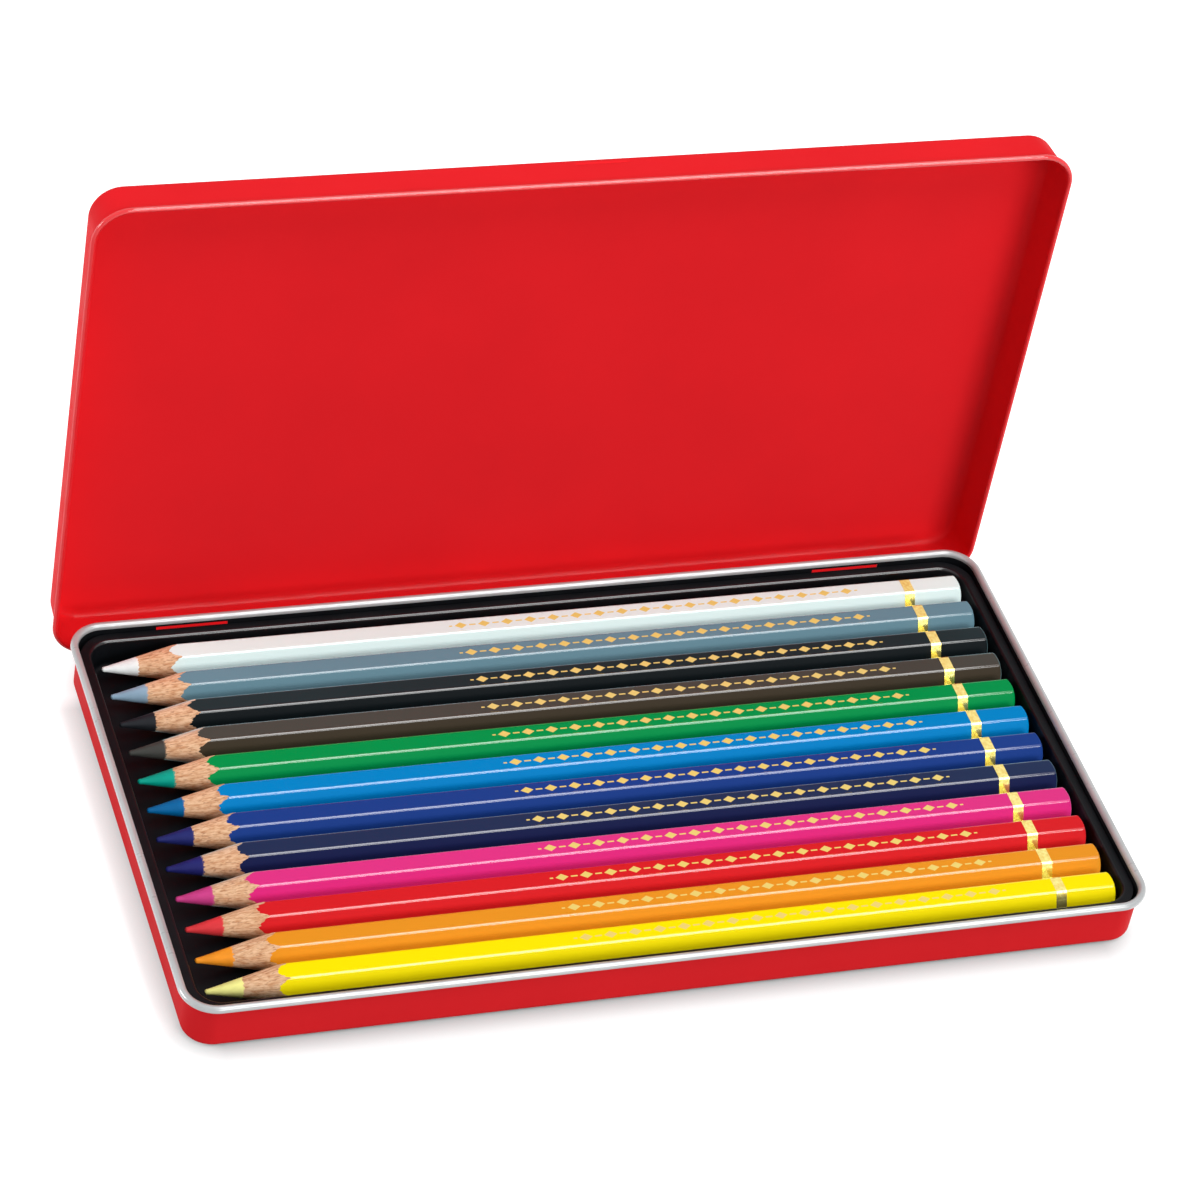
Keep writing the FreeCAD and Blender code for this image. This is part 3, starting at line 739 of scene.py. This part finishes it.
# Casing: bore, cone, scalloped edge where the cone leaves the hexagon, body, rear edge rounded by a quadratic
# curve, and dome
def buildCasing(name, seat, length, boreEnd):
    plan, stem = pencilPlan, name + "_pencil"
    ring = hexagonRing(plan["side"], plan["edgeRound"])
    reach = np.linalg.norm(ring, axis=1)
    lead, edge = plan["leadRadius"], coneAt(reach)
    rows = [(lead, boreEnd), (lead, coneAt(lead))]
    for share in evenShares(plan["coneSteps"]):
        radius = lead + share * (reach - lead)
        rows.append((radius, coneAt(radius)))
    bodyStart = coneAt(plan["side"]) + plan["edgeRoom"]
    rows += [(reach, edge + share * (bodyStart - edge)) for share in plan["edgeShares"]]
    inside = reach - plan["rearRound"]
    rearEdge, domeEdge = domeAt(reach, length), domeAt(inside, length)
    rearStart = rearEdge - plan["rearRound"]
    rows += [(reach, bodyStart + share * (rearStart - bodyStart)) for share in evenShares(plan["bodySteps"])]
    for t in evenShares(plan["rearSteps"]):
        along = (1 - t) ** 2 * rearStart + 2 * t * (1 - t) * rearEdge + t ** 2 * domeEdge
        rows.append(((1 - t ** 2) * reach + t ** 2 * inside, along))
    rows += [(share * inside, domeAt(share * inside, length)) for share in plan["domeShares"]]
    rows += [(0, boreEnd), (lead, boreEnd)]
    points, quads, along = tubeOf(rows, ring / reach[:, None], seat)
    onSide = np.arange(len(ring)) % (len(ring) // 6)
    onEdge = (onSide > 0) & (onSide < plan["roundCount"])
    onTop = ring[:, 1] > ring[:, 1].max() - hair
    marks = {"fromLacquer": (along - edge).ravel(), "fromLead": (along - coneAt(lead)).ravel(),
             "hexEdge": np.tile(onEdge, len(rows)), "fromTip": along.ravel(),
             "stampAcross": np.tile(np.where(onTop, ring[:, 0], plan["side"]), len(rows))}
    casing = makePiece(stem + "_wood", points, quads, [casingMaterial(name, pencilColours[name])],
                       crease=plan["crease"], attributes=marks)
    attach(casing, stem)
    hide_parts(stem + "_casing")


# Lead: an arc of a ball at the tip, the cone up to the bore, and a core a little thinner than the bore
def buildLead(name, seat, boreEnd):
    plan, stem = pencilPlan, name + "_pencil"
    lead, ball = plan["leadRadius"], plan["tipBall"]
    turn = np.linspace(0, 2 * math.pi, plan["circleSteps"] + 1)[:-1]
    circle = np.stack([np.cos(turn), np.sin(turn)], 1)
    swing = math.radians(90 - plan["coneAngle"])
    rows = [(0, 0)]
    rows += [(ball * math.sin(t), ball * (1 - math.cos(t))) for t in swing * evenShares(plan["tipSteps"])]
    meet = ball * math.sin(swing)
    for share in evenShares(plan["leadSteps"]):
        radius = meet + share * (lead - meet)
        rows.append((radius, coneAt(radius)))
    core = lead - plan["leadGap"]
    rows += [(core, coneAt(lead) + plan["leadGapStart"]), (core, boreEnd), (0, boreEnd)]
    points, quads, _ = tubeOf(rows, circle, seat)
    pigment = makePiece(stem + "_pigment", points, quads, [pigmentMaterial(name, pencilColours[name])],
                        crease=plan["crease"])
    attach(pigment, stem)
    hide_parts(stem + "_lead")


# Foil band: a hexagonal sleeve from start to end, as thick as the foil
def buildBand(name, seat, start, end, foil):
    plan, stem = pencilPlan, name + "_pencil"
    ring = hexagonRing(plan["side"], plan["edgeRound"])
    outer = hexagonRing(plan["side"] + plan["foil"] / math.cos(math.pi / 6), plan["edgeRound"] + plan["foil"])
    reach, outerReach = np.linalg.norm(ring, axis=1), np.linalg.norm(outer, axis=1)
    rows = [(reach, start), (outerReach, start), (outerReach, end), (reach, end), (reach, start)]
    points, quads, _ = tubeOf(rows, ring / reach[:, None], seat)
    onStamp = np.tile(outer[:, 1] > outer[:, 1].max() - hair, len(rows))
    band = makePiece(stem + "_foil", points, quads, [foil], attributes={"onStamp": onStamp})
    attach(band, stem)
    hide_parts(stem + "_band")


# One pencil, its three pieces placed and sized by the boxes of their solids
def buildPencil(name, foil):
    stem = name + "_pencil"
    leadLow, leadHigh = inMm(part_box(stem + "_lead"))
    caseLow, caseHigh = inMm(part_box(stem + "_casing"))
    bandLow, bandHigh = inMm(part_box(stem + "_band"))
    tipX = leadLow[0]
    seat = np.array([tipX, (caseLow[1] + caseHigh[1]) / 2, (caseLow[2] + caseHigh[2]) / 2])
    boreEnd = leadHigh[0] - tipX
    buildCasing(name, seat, caseHigh[0] - tipX, boreEnd)
    buildLead(name, seat, boreEnd)
    buildBand(name, seat, bandLow[0] - tipX, bandHigh[0] - tipX, foil)


buildBase()
buildTongues()
buildLid()
buildTray()
print("tin built: base, tongues, lid, tray")

foilGold = goldFoil()
for pencilName in pencilColours:
    buildPencil(pencilName, foilGold)
print("pencils built:", len(pencilColours))

# place is in mm in the frame, and the focal length in pixels of the picture
cameraPlan = {"place": (-272.77, -584.56, 599.71), "forward": (0.314, 0.69324, -0.64871),
              "right": (0.94578, -0.2882, 0.14981), "focalPixels": 4660.3, "imagePixels": 1200,
              "sensorWidth": 36.0, "clip": (0.01, 20.0)}


# Camera that looks along forward with right made square to it. The lens is the focal length as a share of the
# picture's width, times the sensor's width.
def placeCamera():
    plan = cameraPlan
    data = bpy.data.cameras.new("photoCamera")
    data.sensor_width = plan["sensorWidth"]
    data.lens = plan["focalPixels"] / plan["imagePixels"] * plan["sensorWidth"]
    data.clip_start, data.clip_end = plan["clip"]
    forward = Vector(plan["forward"]).normalized()
    right = Vector(plan["right"])
    right = (right - forward * right.dot(forward)).normalized()
    up = right.cross(forward)
    camera = bpy.data.objects.new("photoCamera", data)
    bpy.context.scene.collection.objects.link(camera)
    turn = Matrix((right, up, -forward)).transposed().to_4x4()
    camera.matrix_world = Matrix.Translation(Vector(plan["place"]) * mm) @ turn
    bpy.context.scene.camera = camera


# 1 for rays that show a surface to the camera, directly, in a reflection or through glass, and 0 for others
def seenBy(tree):
    rays = addNode(tree, "LightPath")
    mirrored = mathOf(tree, "MAXIMUM", rays.outputs["Is Glossy Ray"], rays.outputs["Is Transmission Ray"])
    return mathOf(tree, "MAXIMUM", rays.outputs["Is Camera Ray"], mirrored)


# paintedShadowLift is the floor's lift right at the tin's foot, tinted blue-green against the red bounce:
# painted shadow
floorPlan = {"size": 8.0, "colour": (0.55, 0.55, 0.55, 1.0), "roughness": 0.9, "specular": 0.0,
             "paintedShadowLift": (0.03, 0.13, 0.13, 1.0), "shadowReach": 12.0, "footInset": 2.0,
             "endStart": 3.9, "hingeStart": 10.0, "hingeFrom": 39.0, "hingeTo": 50.0}


# Pale floor that is seen white away from the tin. Close to the tin's foot its white lift is held back, so the
# floor there is grey even where lit: painted shadow, laid over the real shadow that also shows there. The
# white grows to full over shadowReach mm outside the tin's foot, a rounded rectangle: the distance is the
# length of the vector past the rectangle of corner centres, less the corner radius. Beside the ends, which
# lie in shadow, it starts endStart mm ahead, and hingeStart mm more at their back.
def buildFloor():
    plan = floorPlan
    half = plan["size"] / 2
    corners = [(-half, -half, 0), (half, -half, 0), (half, half, 0), (-half, half, 0)]
    mesh = bpy.data.meshes.new("studio_floor")
    mesh.from_pydata(corners, [], [(0, 1, 2, 3)])
    floor = bpy.data.objects.new("studio_floor", mesh)
    bpy.context.scene.collection.objects.link(floor)
    material, tree, shader, coords = startMaterial("studioPaper")
    feed(tree, shader, {"Base Color": plan["colour"], "Roughness": plan["roughness"],
                        "Specular IOR Level": plan["specular"]})
    spot = addNode(tree, "SeparateXYZ", {"Vector": coords})
    corner = basePlan["beadCorner"]
    past = []
    for axis, reach in (("X", baseHigh[0]), ("Y", -baseLow[1])):
        fromMiddle = mathOf(tree, "ABSOLUTE", spot.outputs[axis])
        beyond = mathOf(tree, "SUBTRACT", fromMiddle, (reach - plan["footInset"] - corner) * mm)
        past.append(mathOf(tree, "MAXIMUM", beyond, 0.0))
    squares = [mathOf(tree, "MULTIPLY", distance, distance) for distance in past]
    away = mathOf(tree, "POWER", mathOf(tree, "ADD", *squares), 0.5)
    towardsEnd = mathOf(tree, "DIVIDE", past[0], mathOf(tree, "ADD", mathOf(tree, "ADD", *past), hair))
    start = remap(tree, spot.outputs["Y"], (plan["hingeFrom"] * mm, plan["hingeTo"] * mm),
                  (plan["endStart"] * mm, (plan["endStart"] + plan["hingeStart"]) * mm))
    ahead = mathOf(tree, "ADD", away, mathOf(tree, "MULTIPLY", towardsEnd, start))
    # 0 at the foot, where the painted shadow is darkest, rising to 1 where the floor is white
    paintedShadowFade = remap(tree, ahead, (corner * mm, (corner + plan["shadowReach"]) * mm))
    white = mixColour(tree, paintedShadowFade, plan["paintedShadowLift"], pureWhite)
    lift = addNode(tree, "Emission", {"Color": white, "Strength": seenBy(tree)})
    both = addNode(tree, "AddShader", {0: shader.outputs[0], 1: lift.outputs[0]})
    tree.links.new(both.outputs[0], tree.nodes["Material Output"].inputs["Surface"])
    mesh.materials.append(material)


lightPlan = {"worldStrength": 0.22,
             "lamps": [{"name": "overheadBox", "place": (0.75, -0.5, 2.35), "long": (0, 1, 0),
                        "width": 0.9, "length": 2.0, "power": 39.0},
                       {"name": "frontBox", "place": (0.7, -1.97, 1.15), "long": (1, 0, 0),
                        "width": 0.7, "length": 1.4, "power": 29.0},
                       {"name": "sideBox", "place": (-1.6, 0.5, 0.45), "long": (0, 1, 0),
                        "width": 0.5, "length": 0.8, "power": 15.0}]}


# Even world light, seen as white, and three soft boxes. Each faces the middle of the floor, its long side as
# near to the given direction as that allows.
def placeLights():
    plan = lightPlan
    world = bpy.data.worlds.new("studioWorld")
    world.use_nodes = True
    bpy.context.scene.world = world
    tree = world.node_tree
    strength = remap(tree, seenBy(tree), (0.0, 1.0), (plan["worldStrength"], 1.0))
    feed(tree, tree.nodes["Background"], {"Color": pureWhite, "Strength": strength})
    for lamp in plan["lamps"]:
        data = bpy.data.lights.new(lamp["name"], "AREA")
        data.shape = "RECTANGLE"
        data.size, data.size_y, data.energy = lamp["width"], lamp["length"], lamp["power"]
        holder = bpy.data.objects.new(lamp["name"], data)
        bpy.context.scene.collection.objects.link(holder)
        backwards = Vector(lamp["place"]).normalized()
        side = Vector(lamp["long"]).cross(backwards).normalized()
        turn = Matrix((side, backwards.cross(side), backwards)).transposed().to_4x4()
        holder.matrix_world = Matrix.Translation(Vector(lamp["place"])) @ turn


placeCamera()
buildFloor()
placeLights()
bpy.context.scene.view_settings.view_transform = "Standard"
print("camera and studio placed")
